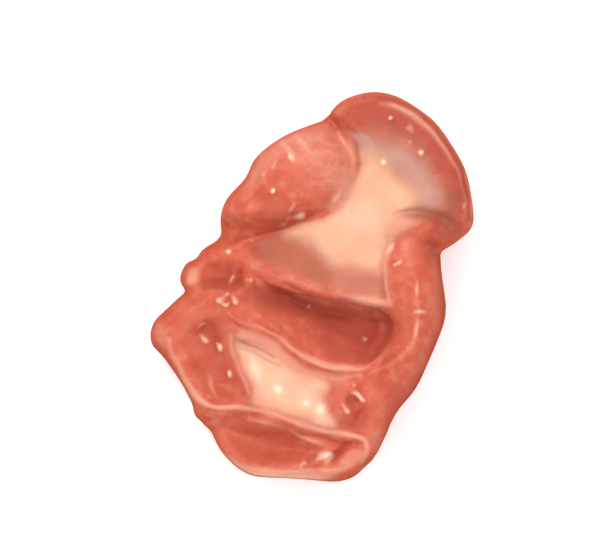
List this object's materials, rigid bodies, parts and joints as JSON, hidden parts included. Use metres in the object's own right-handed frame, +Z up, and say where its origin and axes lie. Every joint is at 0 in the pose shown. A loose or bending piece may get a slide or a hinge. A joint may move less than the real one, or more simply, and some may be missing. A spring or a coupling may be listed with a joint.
{
  "type": "raw chicken gizzard",
  "caption": "Raw cleaned chicken gizzard, cut open along its hollow and laid flat: soft muscle lobes, pale tendon and a dished flap.",
  "frame": {"origin": "middle of the plan, on the surface it rests on", "axes": "+Z up out of the opened side, +Y along the length toward the dished flap, +X toward the thick band"},
  "size_m": [0.0546, 0.066, 0.0207],
  "materials": {
    "meat": "wet salmon-red muscle with cream tendon, glossy with small highlights"
  },
  "bodies": {
    "root": {"gizzard": "meat"}
  },
  "joints": []
}
